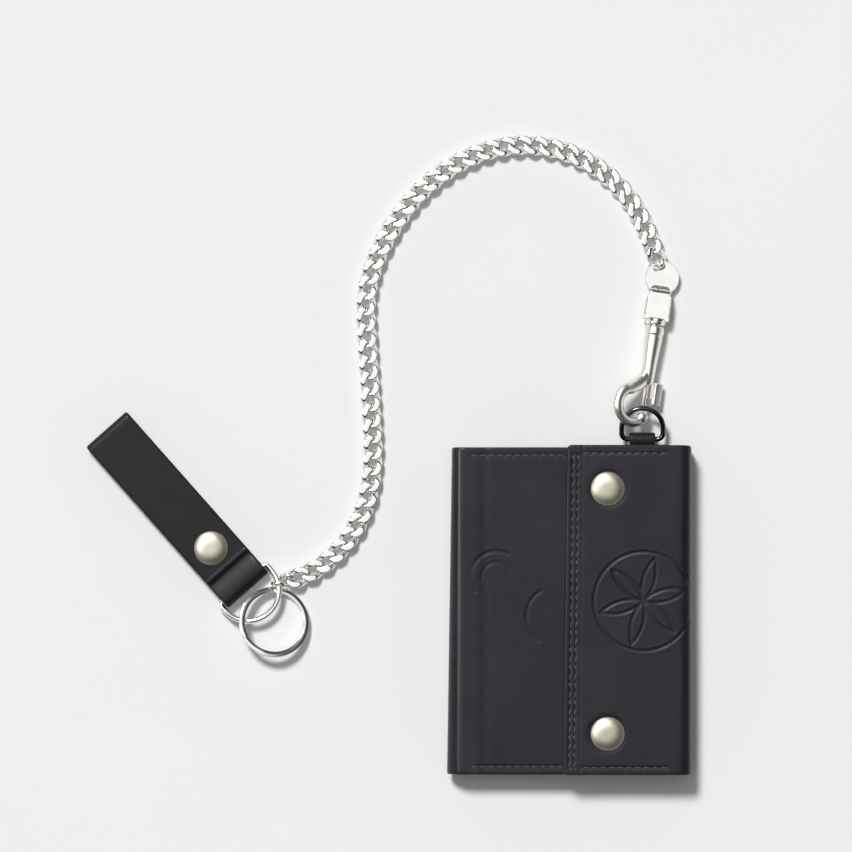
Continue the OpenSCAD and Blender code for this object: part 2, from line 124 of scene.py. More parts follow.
def bump(t, b, height, distance, strength=1.0, after=None):
    n = t.nodes.new("ShaderNodeBump")
    n.inputs["Distance"].default_value = distance
    n.inputs["Strength"].default_value = strength
    t.links.new(height, n.inputs["Height"])
    if after is not None:
        t.links.new(after, n.inputs["Normal"])
    t.links.new(n.outputs["Normal"], b.inputs["Normal"])
    return n.outputs["Normal"]


def leather(name, dark, light, rough, grain=0.00004, scale=1500, coat=0.2):
    """dyed leather: soft cloudy dye, fine pores and a smooth pebble, gloss that varies with them"""
    m, t, b, co = nodes_of(name, dark, rough=rough, Specular_IOR_Level=0.2, Coat_Weight=coat,
                           Coat_Roughness=0.2)
    cloud = texture(t, "ShaderNodeTexNoise", co, 60, Detail=4.0, Roughness=0.6)
    t.links.new(ramp(t, cloud.outputs["Fac"], [(0.3, dark), (0.75, light)]), b.inputs["Base Color"])
    pebble = texture(t, "ShaderNodeTexVoronoi", co, scale, feature="SMOOTH_F1")
    fine = texture(t, "ShaderNodeTexNoise", co, scale * 1.7, Detail=5.0, Roughness=0.7)
    pores = math_node(t, "MULTIPLY", fine.outputs["Fac"], 0.6)
    mixed = math_node(t, "ADD", pebble.outputs["Distance"], pores)
    gloss = math_node(t, "MULTIPLY", fine.outputs["Fac"], 0.12)
    patch = math_node(t, "MULTIPLY", cloud.outputs["Fac"], 0.14)
    t.links.new(math_node(t, "ADD", math_node(t, "ADD", gloss, patch), rough - 0.13), b.inputs["Roughness"])
    crease = texture(t, "ShaderNodeTexNoise", co, 140, Detail=3.0, Roughness=0.5)
    first = bump(t, b, mixed, grain, 0.6)
    bump(t, b, crease.outputs["Fac"], 0.00012, 0.5, after=first)
    return m


def edge_paint_painted_highlight():
    m, t, b, co = nodes_of("edge_paint_painted_highlight", (0.02, 0.019, 0.021), rough=0.4)
    n = texture(t, "ShaderNodeTexNoise", co, 900, Detail=4.0)
    # painted highlight: the edge colour ramps well above the black leather's, so the cut edges read as lit
    # lines; the noise only varies that tone at random
    shades = ramp(t, n.outputs["Fac"], [(0.3, (0.05, 0.048, 0.05)), (0.8, (0.12, 0.115, 0.12))])
    t.links.new(shades, b.inputs["Base Color"])
    bump(t, b, n.outputs["Fac"], 0.00005, 0.7)
    return m


def cloth():
    m, t, b, co = nodes_of("woven_lining", (0.02, 0.02, 0.022), rough=0.85, Sheen_Weight=0.3)
    w1 = texture(t, "ShaderNodeTexWave", co, 700, bands_direction="X")
    w2 = texture(t, "ShaderNodeTexWave", co, 700, bands_direction="Y")
    weave = math_node(t, "MULTIPLY", w1.outputs["Fac"], w2.outputs["Fac"])
    shades = ramp(t, weave, [(0.0, (0.01, 0.01, 0.011)), (1.0, (0.045, 0.045, 0.05))])
    t.links.new(shades, b.inputs["Base Color"])
    bump(t, b, weave, 0.00008, 0.8)
    return m


def thread_material():
    m, t, b, co = nodes_of("waxed_thread", (0.03, 0.028, 0.032), rough=0.42, Sheen_Weight=0.2)
    w = texture(t, "ShaderNodeTexWave", co, 900, bands_direction="DIAGONAL", Distortion=1.0)
    shades = ramp(t, w.outputs["Fac"], [(0.1, (0.014, 0.013, 0.015)), (0.9, (0.07, 0.067, 0.073))])
    t.links.new(shades, b.inputs["Base Color"])
    bump(t, b, w.outputs["Fac"], 0.00006, 0.8)
    return m


def plated(name, base, shade, rough, scratch=0.10, wave=0.00003):
    """plated metal: faint polishing lines, cloudy wear in the gloss and a slight unevenness"""
    m, t, b, co = nodes_of(name, base, metallic=1.0, rough=rough)
    cloud = texture(t, "ShaderNodeTexNoise", co, 180, Detail=3.0)
    t.links.new(ramp(t, cloud.outputs["Fac"], [(0.25, shade), (0.7, base)]), b.inputs["Base Color"])
    stretch = t.nodes.new("ShaderNodeMapping")
    stretch.inputs["Scale"].default_value = (6, 0.6, 1.5)
    t.links.new(co, stretch.inputs["Vector"])
    lines = texture(t, "ShaderNodeTexNoise", stretch.outputs["Vector"], 1500, Detail=4.0, Roughness=0.7)
    wear = math_node(t, "MULTIPLY", lines.outputs["Fac"], scratch)
    spots = math_node(t, "MULTIPLY", cloud.outputs["Fac"], scratch * 0.6)
    worn = math_node(t, "ADD", wear, spots)
    t.links.new(math_node(t, "ADD", worn, max(0.02, rough - scratch * 0.8)), b.inputs["Roughness"])
    uneven = texture(t, "ShaderNodeTexNoise", co, 420, Detail=2.0)
    bump(t, b, uneven.outputs["Fac"], wave, 0.5)
    return m


M_LEATHER = leather("black_leather", (0.0085, 0.0066, 0.0112), (0.0135, 0.0108, 0.0165), 0.40)
M_INNER = leather("inner_leather", (0.012, 0.0115, 0.0135), (0.018, 0.017, 0.02), 0.5, scale=1300)
M_STRAP = leather("strap_leather", (0.0045, 0.0038, 0.0065), (0.0075, 0.0065, 0.010), 0.52, scale=1700,
                  coat=0.08)
M_EDGE = edge_paint_painted_highlight()
M_CLOTH = cloth()
M_THREAD = thread_material()
M_NICKEL = plated("bright_nickel", (0.93, 0.92, 0.90), (0.86, 0.85, 0.82), 0.16)
M_CAST = plated("cast_nickel", (0.92, 0.91, 0.86), (0.84, 0.83, 0.76), 0.30, wave=0.00006)
M_SATIN = plated("satin_nickel", (0.52, 0.505, 0.41), (0.45, 0.43, 0.35), 0.42, scratch=0.14)
M_BLACK = plated("black_nickel", (0.11, 0.11, 0.115), (0.07, 0.07, 0.075), 0.14)
M_SPRING = plated("spring_steel", (0.55, 0.55, 0.56), (0.45, 0.45, 0.46), 0.25)


# ---------------------------------------------------------------- mesh helpers
class Build:
    """vertices in millimetres and faces, gathered into one mesh"""

    def __init__(self):
        self.v, self.f, self.m = [], [], []

    def add(self, verts, faces, material=0):
        k = len(self.v)
        self.v.extend([tuple(map(float, p)) for p in verts])
        self.f.extend([tuple(k + i for i in f) for f in faces])
        self.m.extend([material] * len(faces))

    def piece(self, name, body, slot, materials, replaces=(), matrix=None, flat=False, sharp=None):
        v = np.array(self.v, float)
        if matrix is not None:
            v = v @ matrix[:3, :3].T + matrix[:3, 3]
        me = bpy.data.meshes.new(name)
        me.from_pydata((v * MM).tolist(), [], self.f)
        materials = materials if isinstance(materials, (list, tuple)) else [materials]
        for x in materials:
            me.materials.append(x)
        me.polygons.foreach_set("material_index", self.m)
        me.polygons.foreach_set("use_smooth", [not flat] * len(me.polygons))
        if sharp:
            me.set_sharp_from_angle(angle=math.radians(sharp))
        me.update()
        ob = bpy.data.objects.new(name, me)
        bpy.context.scene.collection.objects.link(ob)
        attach(ob, body)
        if replaces:
            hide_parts(*([replaces] if isinstance(replaces, str) else replaces))
        return ob


def grid_faces(n, m, wrap_n=False, wrap_m=False, flip=False):
    out = []
    for i in range(n if wrap_n else n - 1):
        for j in range(m if wrap_m else m - 1):
            i2, j2 = (i + 1) % n, (j + 1) % m
            q = (i * m + j, i2 * m + j, i2 * m + j2, i * m + j2)
            out.append(q[::-1] if flip else q)
    return out


def spaced(a, b, ra, rb, step, extra=()):
    """places from a to b, close together in the rounded stretches ra and rb"""
    arc = [1 - math.cos(x) for x in np.linspace(0, pi / 2, 6)]
    xs = [a + ra * x for x in arc] if ra else [a]
    xs += list(np.linspace(a + ra, b - rb, max(2, int(round((b - a - ra - rb) / step)) + 1)))
    xs += [b - rb * x for x in arc] if rb else [b]
    xs = sorted(set(round(x, 5) for x in xs) | set(round(x, 5) for x in extra))
    return np.array(xs)


def drop_of(d, r):
    d = np.clip(d, 0, r)
    return r - np.sqrt(np.maximum(0, r * r - (r - d) ** 2))


def slab(build, x0, x1, y0, y1, z0, z1, round_=(1, 1, 1, 1), r=None, corner=(0, 0, 0, 0), step=3.0,
         top=None, under=None, material=0, edge=None, out=None):
    """a sheet with rounded edges. round_ and corner go left, right, bottom, top, and
    bottom-left, bottom-right, top-right, top-left; top and under are heights added over (x, y)"""
    t = z1 - z0
    r = t * 0.42 if r is None else r
    L, R, B, T = [r if k else 0 for k in round_]
    xs, ys = spaced(x0, x1, L, R, step), spaced(y0, y1, B, T, step)
    X, Y = np.meshgrid(xs, ys, indexing="ij")
    d = np.full(X.shape, 1e3)
    if L: d = np.minimum(d, X - x0)
    if R: d = np.minimum(d, x1 - X)
    if B: d = np.minimum(d, Y - y0)
    if T: d = np.minimum(d, y1 - Y)
    corners = (x0, y0, 1, 1), (x1, y0, -1, 1), (x1, y1, -1, -1), (x0, y1, 1, -1)
    for k, (cx, cy, sx, sy) in enumerate(corners):
        c = corner[k]
        if not c:
            continue
        u, v = (X - cx) * sx, (Y - cy) * sy
        inside = (u < c) & (v < c)
        p, q = (c - u) / c, (c - v) / c
        far = np.hypot(p, q)
        s = np.where(far > 1e-9, np.maximum(p, q) / np.maximum(far, 1e-9), 1)
        X = np.where(inside, cx + sx * (c - c * p * s), X)
        Y = np.where(inside, cy + sy * (c - c * q * s), Y)
    drop = drop_of(d, r)
    zt, zb = z1 - drop, z0 + drop
    if top is not None:
        zt = zt + top(X, Y)
    if under is not None:
        zb = zb + under(X, Y)
    if out is not None:
        X, Y = out(X, Y)
    n, m = X.shape
    v = np.concatenate([np.stack([X, Y, zt], -1).reshape(-1, 3), np.stack([X, Y, zb], -1).reshape(-1, 3)])
    faces = grid_faces(n, m) + [tuple(n * m + i for i in f) for f in grid_faces(n, m, flip=True)]
    build.add(v, faces, material)
    ring = [i * m for i in range(n)] + [(n - 1) * m + j for j in range(1, m)] \
        + [i * m + m - 1 for i in range(n - 2, -1, -1)] + [j for j in range(m - 2, 0, -1)]
    k = len(build.v) - 2 * n * m
    side = []
    for a, b in zip(ring, ring[1:] + ring[:1]):
        side.append((k + a, k + n * m + a, k + n * m + b, k + b))
    build.f.extend(side)
    build.m.extend([material if edge is None else edge] * len(side))


def frames(path, up=(0, 0, 1), closed=False):
    p = np.array(path, float)
    if closed:
        t = np.roll(p, -1, 0) - np.roll(p, 1, 0)
    else:
        t = np.gradient(p, axis=0)
    t /= np.linalg.norm(t, axis=1)[:, None]
    side = np.cross(np.array(up, float), t)
    bad = np.linalg.norm(side, axis=1) < 1e-6
    side[bad] = (1, 0, 0)
    side /= np.linalg.norm(side, axis=1)[:, None]
    return p, t, side, np.cross(t, side)


def tube(build, path, radius, sides=16, closed=False, up=(0, 0, 1), flatten=1.0, caps=True, material=0):
    p, t, side, other = frames(path, up, closed)
    r = np.broadcast_to(np.asarray(radius, float), (len(p),))
    a = np.linspace(0, 2 * pi, sides, endpoint=False)
    round_ = np.cos(a)[None, :, None] * side[:, None] + flatten * np.sin(a)[None, :, None] * other[:, None]
    v = p[:, None] + r[:, None, None] * round_
    faces = grid_faces(len(p), sides, wrap_n=closed, wrap_m=True, flip=True)
    if caps and not closed:
        faces += [tuple(range(sides)), tuple((len(p) - 1) * sides + i for i in range(sides - 1, -1, -1))]
    build.add(v.reshape(-1, 3), faces, material)


def lathe(build, profile, centre=(0, 0, 0), sides=64, material=0, along=2):
    """profile of (radius, height) turned about an axis through centre, with its ends on the axis"""
    prof = np.array(profile, float)
    a = np.linspace(0, 2 * pi, sides, endpoint=False)
    v, rows = [], []
    for r, z in prof:
        if r < 1e-9:
            rows.append([len(v)])
            v.append((0, 0, z))
        else:
            rows.append(list(range(len(v), len(v) + sides)))
            v += [(r * math.cos(x), r * math.sin(x), z) for x in a]
    f = []
    for p, q in zip(rows, rows[1:]):
        for i in range(sides):
            j = (i + 1) % sides
            if len(p) == 1 and len(q) == 1:
                continue
            if len(p) == 1:
                f.append((p[0], q[j], q[i]))
            elif len(q) == 1:
                f.append((p[i], p[j], q[0]))
            else:
                f.append((p[i], p[j], q[j], q[i]))
    v = np.array(v, float)
    if along == 1:
        v = v[:, [1, 2, 0]]
    build.add(v + np.array(centre, float), f, material)


def stitches(build, points, directions, normals, length=2.2, radius=0.26, sink=0.08, slant=0.0, material=0):
    """one short thread over each point, its ends diving into the leather"""
    s = np.linspace(-1, 1, 9)
    ang = np.linspace(0, 2 * pi, 8, endpoint=False)
    for p, d, n in zip(points, directions, normals):
        p, d, n = (np.array(x, float) for x in (p, d, n))
        d = d / np.linalg.norm(d)
        side = np.cross(n, d)
        d = d * math.cos(slant) + side * math.sin(slant)
        side = np.cross(n, d)
        rings = []
        for x in s:
            lift = radius * 0.9 * (1 - abs(x) ** 3) - sink - radius * 0.9 * abs(x) ** 6
            rr = radius * (0.55 + 0.45 * math.sqrt(max(0, 1 - abs(x) ** 4)))
            c = p + d * x * length / 2 + n * lift
            rings += [c + rr * (math.cos(a) * side + math.sin(a) * n * 0.85) for a in ang]
        f = grid_faces(len(s), 8, wrap_m=True)
        f += [tuple(range(7, -1, -1)), tuple((len(s) - 1) * 8 + i for i in range(8))]
        build.add(rings, f, material)


def stitch_row(build, a, b, normal, pitch=3.0, length=2.3, zz=0.0, height=None, **kw):
    a, b = np.array(a, float), np.array(b, float)
    n = max(1, int(np.linalg.norm(b - a) / pitch))
    d = (b - a) / np.linalg.norm(b - a)
    pts = [a + (b - a) * (i + 0.5) / n for i in range(n)]
    if height is not None:
        pts = [np.array([p[0], p[1], height(p[0], p[1])]) for p in pts]
    for i, p in enumerate(pts):
        stitches(build, [p], [d], [normal], length=length, slant=zz if i % 2 else -zz * 0.6, **kw)


def row_groove(X, Y, a, b, width=0.55, depth=0.16, pitch=3.0):
    """the dip that a row of stitches from a to b pulls into the leather, deeper at each hole"""
    a, b = np.array(a, float), np.array(b, float)
    L = np.linalg.norm(b - a)
    d = (b - a) / L
    s = (X - a[0]) * d[0] + (Y - a[1]) * d[1]
    q = (X - a[0]) * -d[1] + (Y - a[1]) * d[0]
    n = max(1, int(L / pitch))
    hole = 0.5 - 0.5 * np.cos(2 * pi * s / L * n)
    inside = np.clip(np.minimum(s, L - s) + 0.4, 0, 0.8) / 0.8
    return -inside * depth * np.exp(-(q / width) ** 2) * (1.25 - 0.5 * hole)


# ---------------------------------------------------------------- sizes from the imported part
back_lo, back_hi = mm_box("back_shell")
leaf_lo, leaf_hi = mm_box("leaf_shell")
flap_lo, flap_hi = mm_box("flap_shell")
XL, XR = back_lo[0], back_hi[0]
Y0, Y1 = back_lo[1], back_hi[1]
z_leaf, z_leaf_top = leaf_lo[2], leaf_hi[2]
z_flap, z_flap_top = mm_box("flap_lining")[0][2], flap_hi[2]
T = back_hi[2]


# ---- generic pressed motif: circles and a plain six-petal rosette
def arc_dist(X, Y, cx, cy, r, a0=0, a1=360):
    ang = np.degrees(np.arctan2(Y - cy, X - cx)) % 360
    span = (a1 - a0) % 360 or 360
    inside = ((ang - a0) % 360) <= span
    d = np.abs(np.hypot(X - cx, Y - cy) - r)
    ends = []
    for a in (math.radians(a0), math.radians(a1)):
        ends.append(np.hypot(X - cx - r * math.cos(a), Y - cy - r * math.sin(a)))
    return np.where(inside, d, np.minimum(*ends))


def rosette(X, Y, cx, cy, r, turn=0.0):
    d = arc_dist(X, Y, cx, cy, r * 1.12)
    for k in range(6):
        a = turn + 60 * k
        px, py = cx + r * math.cos(math.radians(a)), cy + r * math.sin(math.radians(a))
        d = np.minimum(d, arc_dist(X, Y, px, py, r, a + 120, a + 240))
    return d


def pressed(d, depth=0.17, width=0.55):
    raised_edge = depth * 0.3 * np.exp(-((d - width * 1.7) / (width * 0.6)) ** 2)
    return -depth * np.exp(-(d / width) ** 4) + raised_edge


# ================================================================ wallet: back, leaf and flap
flap_x0 = flap_lo[0]
flap_rows = [(flap_x0 + 2.3, Y0 + 2.2, Y1 - 2.2), (flap_x0 + 4.1, Y0 + 2.2, Y1 - 2.2)]
flap_lean = 0.75
flap_taller = 0.9
flap_y1 = Y1 + flap_taller
seam_line = 2.8
caps = [(13.0, 43.0), (13.0, -43.0)]


def flap_top(X, Y):
    z = pressed(rosette(X, Y, 25.5, 3.5, 15.5, 15))
    for x, a, b in flap_rows:
        z = z + row_groove(X, Y, (x, a), (x, b), depth=0.2)
    z = z + row_groove(X, Y, (flap_x0 + 6, Y0 + 2.6), (XR, Y0 + 2.6))
    z = z + row_groove(X, Y, (flap_x0 + 6, flap_y1 - 3.0), (XR, flap_y1 - 3.0))
    z = z - 0.12 * np.exp(-((X - flap_x0 - 5.6) / 0.5) ** 2)
    for cx, cy in caps:
        z = z - 0.25 * np.exp(-((np.hypot(X - cx, Y - cy) - 5.6) / 1.2) ** 2)
    z = z + 0.10 * np.sin(X * 0.21 + 1) * np.sin(Y * 0.083 + 0.4)
    return z


def flap_skew(X, Y):
    """the flap's free edge leans a little: its foot reaches further left"""
    t = (Y1 - Y) / (Y1 - Y0)
    return X + (0.8 - 1.6 * t) * (XR - X) / (XR - flap_x0), Y


b = Build()
slab(b, flap_x0, XR, Y0, flap_y1, z_flap + 0.4, z_flap_top, round_=(1, 0, 1, 1), r=0.62,
     corner=(1.6, 0, 0, 1.6), step=0.42, top=flap_top, edge=1, out=flap_skew)
b.piece("flap_leather", "flap", "black_leather", [M_LEATHER, M_EDGE], "flap_shell", sharp=50)
b = Build()
slab(b, flap_x0 + 0.5, XR - 0.5, Y0 + 0.4, Y1 - 0.4, z_flap, z_flap + 0.42, r=0.15, step=4, out=flap_skew)
b.piece("flap_cloth", "flap", "cloth_lining", M_CLOTH, "flap_lining")
b = Build()
for x, a, c in flap_rows:
    stitch_row(b, (x - flap_lean, a, z_flap_top - 0.2), (x + flap_lean, c, z_flap_top - 0.2), (0, 0, 1),
               zz=0.35, length=2.2, sink=0.0)
for y in (Y0 + 2.6, flap_y1 - 3.0):
    stitch_row(b, (flap_x0 + 6, y, z_flap_top - 0.12), (XR, y, z_flap_top - 0.12), (0, 0, 1), sink=0.0)
for x, a, c in flap_rows:
    stitch_row(b, (x - flap_lean, a, z_flap), (x + flap_lean, c, z_flap), (0, 0, -1), length=2.2)
b.piece("flap_stitches", "flap", "black_leather", M_THREAD)


def leaf_top(X, Y):
    z = pressed(arc_dist(X, Y, -26.0, 12.0, 9.0, 60, 215), 0.2, 0.5)
    z = z + pressed(arc_dist(X, Y, -26.0, 12.0, 5.2, 20, 190), 0.16, 0.45)
    z = z + pressed(arc_dist(X, Y, -5.0, -2.0, 10.5, 120, 235), 0.2, 0.5)
    z = z + row_groove(X, Y, (XL, Y1 - seam_line), (leaf_hi[0] - 2, Y1 - seam_line)) \
        + row_groove(X, Y, (XL, Y0 + seam_line), (leaf_hi[0] - 2, Y0 + seam_line))
    z = z - 0.14 * np.exp(-((X - XL - 5.5) / 1.6) ** 2) + 0.08 * np.sin(X * 0.17 + 2) * np.sin(Y * 0.07)
    for cx, cy in caps:
        z = z - 0.12 * np.exp(-((np.hypot(X - cx, Y - cy) - 4.4) / 0.8) ** 2)
    z = z + 0.12 * np.exp(-((X - XL - 3.2) / 2.6) ** 2) * (0.45 + 0.55 * np.clip((20 - Y) / 50, 0, 1))
    return z * np.clip((X - XL) / 2.0, 0, 1)


b = Build()
slab(b, XL, leaf_hi[0], Y0, Y1, z_leaf, z_leaf_top, round_=(0, 1, 1, 1), r=0.6,
     corner=(0, 1.6, 1.6, 0), step=0.6, top=leaf_top, edge=1)
b.piece("leaf_leather", "leaf", "black_leather", [M_LEATHER, M_EDGE], "leaf_shell", sharp=50)
b = Build()
for y in (Y1 - seam_line, Y0 + seam_line):
    stitch_row(b, (XL + 0.5, y, z_leaf_top - 0.12), (leaf_hi[0] - 2, y, z_leaf_top - 0.12), (0, 0, 1),
               sink=0.0)
    stitch_row(b, (XL + 1, y, 6.8), (leaf_hi[0] - 2, y, 6.8), (0, 0, -1))
b.piece("leaf_stitches", "leaf", "black_leather", M_THREAD)


def back_under(X, Y):
    z = row_groove(X, Y, (XL, Y1 - seam_line), (XR, Y1 - seam_line)) \
        + row_groove(X, Y, (XL, Y0 + seam_line), (XR, Y0 + seam_line))
    return -z * np.clip(np.minimum(X - XL, XR - X) / 2, 0, 1)


b = Build()
slab(b, XL, XR, Y0, Y1, 0, T, round_=(0, 0, 1, 1), r=0.6, step=0.8, under=back_under, edge=1)
b.piece("back_leather", "back", "black_leather", [M_LEATHER, M_EDGE], "back_shell", sharp=50)
b = Build()
for y in (Y1 - seam_line, Y0 + seam_line):
    stitch_row(b, (XL, y, 0.16), (XR, y, 0.16), (0, 0, -1), sink=0.12)
b.piece("back_stitches", "back", "black_leather", M_THREAD)


def panel(name, node, body, material, slot_name, mouth=False, thick=None, step=1.6, borders=()):
    lo, hi = mm_box(node)
    z1 = hi[2]
    z0 = lo[2] if thick is None else z1 - thick

    def top(X, Y):
        if not mouth:
            return 0 * X
        return -0.12 * np.exp(-((Y - hi[1] + 2.2) / 0.35) ** 2) + 0 * X

    bb = Build()
    slab(bb, lo[0], hi[0], lo[1] + 0.3, hi[1], z0, z1, corner=(0, 0, 0.8, 0.8), step=step, top=top,
         under=(lambda X, Y: -top(X, Y)), edge=1)
    for x0, x1, y0, y1, za, zb in borders:
        slab(bb, x0, x1, y0, y1, za, zb, step=4, r=(zb - za) * 0.3)
    return bb.piece(name, body, slot_name, [material, M_EDGE], node)


seam = 4.0
lo, hi = mm_box("back_lining")
b = Build()
slab(b, lo[0], hi[0], lo[1] + 0.4, hi[1] - 0.6, lo[2] - 0.02, hi[2], r=0.15, step=4)
b.piece("bill_cloth", "back", "cloth_lining", M_CLOTH, "back_lining")
ip_lo, ip_hi = mm_box("inner_panel")
panel("inner_leather", "inner_panel", "back", M_INNER, "black_leather", mouth=True, thick=0.8, borders=[
    (ip_lo[0], ip_lo[0] + seam, Y0 + 0.3, Y1 - 0.3, ip_lo[2], ip_hi[2] - 0.78),
    (ip_hi[0] - seam, ip_hi[0], Y0 + 0.3, Y1 - 0.3, ip_lo[2], ip_hi[2] - 0.78),
    (ip_lo[0] + seam, ip_hi[0] - seam, Y0 + 0.3, Y0 + seam, ip_lo[2], ip_hi[2] - 0.78)])
for k in (1, 2, 3):
    panel(f"card_pocket_{k}", f"centre_pocket_{k}", "back", M_INNER, "black_leather", mouth=True)
ll_lo, ll_hi = mm_box("leaf_lining")
b = Build()
slab(b, ll_lo[0], ll_hi[0], Y0 + 0.3, Y1, ll_lo[2], ll_lo[2] + 0.8, step=2, edge=1)
leaf_borders = [(ll_lo[0], ll_lo[0] + seam, Y0 + 0.3, Y1 - 0.3),
                (ll_hi[0] - 1, ll_hi[0], Y0 + 0.3, Y1 - 0.3),
                (ll_lo[0] + seam, ll_hi[0] - 1, Y0 + 0.3, Y0 + seam)]
for x0, x1, y0, y1 in leaf_borders:
    slab(b, x0, x1, y0, y1, ll_lo[2] + 0.78, ll_hi[2], step=4, r=0.2)
b.piece("leaf_inside", "leaf", "black_leather", [M_INNER, M_EDGE], "leaf_lining")
for k in (1, 2):
    node = f"leaf_pocket_{k}"
    lo, hi = mm_box(node)
    bb = Build()
    slab(bb, lo[0], hi[0], lo[1] + 0.3, hi[1], lo[2], hi[2], corner=(0, 0, 0.8, 0.8), step=1.6, edge=1,
         under=lambda X, Y, e=hi[1]: 0.12 * np.exp(-((Y - e + 2.2) / 0.35) ** 2))
    bb.piece(f"leaf_card_pocket_{k}", "leaf", "black_leather", [M_INNER, M_EDGE], node)
b = Build()
cp = [mm_box(f"centre_pocket_{k}") for k in (1, 2, 3)]
for x in (cp[0][0][0] + 2.2, cp[0][1][0] - 2.2):
    stitch_row(b, (x, Y0 + 3, cp[2][1][2]), (x, cp[2][1][1], cp[2][1][2]), (0, 0, 1))
    stitch_row(b, (x, cp[2][1][1] + 1, cp[1][1][2]), (x, cp[1][1][1], cp[1][1][2]), (0, 0, 1))
    stitch_row(b, (x, cp[1][1][1] + 1, cp[0][1][2]), (x, cp[0][1][1], cp[0][1][2]), (0, 0, 1))
    stitch_row(b, (x, cp[0][1][1] + 1, ip_hi[2]), (x, Y1 - 2, ip_hi[2]), (0, 0, 1))
stitch_row(b, (cp[0][0][0] + 4, Y0 + 2.8, cp[2][1][2]), (cp[0][1][0] - 4, Y0 + 2.8, cp[2][1][2]), (0, 0, 1))
b.piece("pocket_stitches", "back", "black_leather", M_THREAD)


# ---- spines: half-round folds swept along Y, their ends rounded over
def spine(name, node, body, side, fold_x, top_z, pad, square, relief=None, step=1.2, taller=0.0):
    """a fold of super-ellipse section, fuller by pad(y); its top half carries relief and grows taller"""
    R = top_z / 2
    r_in = R - T
    flat = 1.0
    b = Build()
    ys = spaced(Y0, Y1, 0.6, 0.6, step)
    rings = []
    fine = np.linspace(-90, 90, 4001)

    def cs(a):
        return abs(math.cos(math.radians(a))) ** (2 / square)

    def sn(a):
        return math.copysign(abs(math.sin(math.radians(a))) ** (2 / square), a)

    run = np.array([(R * cs(a), R * sn(a)) for a in fine])
    run = np.concatenate([[0], np.cumsum(np.hypot(*np.diff(run, axis=0).T))])
    arc = np.interp(np.linspace(0, run[-1], 81), run, fine)
    for y in ys:
        e = float(drop_of(np.array(min(y - Y0, Y1 - y)), 0.6))
        swell = pad(y)
        outer = [(0, 0)] + [(flat + (R - e) * cs(a), R + (R - e) * sn(a)) for a in arc] + [(0, 2 * R)]
        outer[0], outer[-1] = (0, e), (0, 2 * R - e)
        inner = [(flat + (r_in + e) * cs(a), R + (r_in + e) * sn(a)) for a in arc[::-1]]
        inner = [(0, 2 * R - T + e)] + inner + [(0, T - e)]
        pts = []
        for k, (u, z) in enumerate(outer + inner):
            wide = max(0, math.sin(pi * min(1, max(0, z / (2 * R)))))
            high = min(1, max(0, z / R - 1))
            px = fold_x + side * (u + swell * wide * min(1, u / R))
            py = y + taller * high * (y - Y0) / (Y1 - Y0)
            if relief and k < len(outer):
                z += float(relief(np.array(px), np.array(py))) * min(1, high * 2) ** 2
            pts.append((px, py, z))
        rings.append(pts)
    n, m = len(rings), len(rings[0])
    v = np.array(rings).reshape(-1, 3)
    f = grid_faces(n, m, wrap_m=True, flip=side > 0)
    b.add(v, f)
    half = m // 2
    for i, flip in ((0, False), (n - 1, True)):
        for j in range(half - 1):
            q = (i * m + j, i * m + j + 1, i * m + m - 2 - j, i * m + m - 1 - j)
            q = q if flip == (side > 0) else q[::-1]
            b.f.append(q)
            b.m.append(1)
    ob = b.piece(name, body, "black_leather", [M_LEATHER, M_EDGE], node, sharp=50)
    return ob


left = spine("left_fold", "left_spine", "left_spine", -1, XL, z_leaf_top,
             lambda y: -0.9 + 1.7 * (Y1 - y) / (Y1 - Y0), 2.3)
right = spine("right_fold", "right_spine", "right_spine", 1, XR, z_flap_top, lambda y: 0.1, 4.2,
              relief=flap_top, step=0.5, taller=flap_taller)
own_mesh(right)
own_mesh(left)


# ---- snaps
def cap_profile(r, h):
    rim = [(r - 0.55, 0.0), (r - 0.12, 0.0), (r, 0.1)]
    dome = []
    for k in np.linspace(1.0, 0, 20):
        dome.append((r * k, 0.22 + (h - 0.22) * (1 - k ** 3.4)))
    return [(0, 0.0)] + rim + dome


def socket_profile(r, depth):
    rim = [(4.6, 0.0), (4.8, -0.12), (4.75, -0.34), (4.5, -0.4), (3.2, -0.36), (2.85, -0.28), (2.7, -0.1)]
    return [(0, depth), (r - 0.25, depth), (r, depth - 0.25), (r, 0.0)] + rim \
        + [(2.7, depth - 0.5), (2.5, depth - 0.4), (0, depth - 0.4)]


def stud_profile(top):
    foot = [(4.3, 0.0), (4.4, 0.12), (4.25, 0.3), (3.4, 0.34), (1.9, 0.4), (1.6, 0.55)]
    head = [(1.6, top - 0.7), (1.85, top - 0.5), (1.9, top - 0.3), (1.78, top - 0.08), (1.5, top)]
    return [(0, 0.0)] + foot + head + [(0, top)]


cap_r, cap_h = 6.0, 1.5
b = Build()
for cx, cy in caps:
    lathe(b, cap_profile(cap_r, cap_h), (cx, cy, z_flap_top - 0.06))
b.piece("flap_caps", "flap", "satin_nickel", M_SATIN, "snap_caps", sharp=60)
b = Build()
for cx, cy in caps:
    lathe(b, socket_profile(3.3, 1.6), (cx, cy, z_flap))
b.piece("flap_sockets", "flap", "satin_nickel", M_SATIN, "snap_sockets", sharp=50)
b = Build()
for cx, cy in caps:
    lathe(b, stud_profile(1.2), (cx, cy, z_leaf_top))
b.piece("leaf_studs", "leaf", "satin_nickel", M_SATIN, "snap_studs", sharp=50)


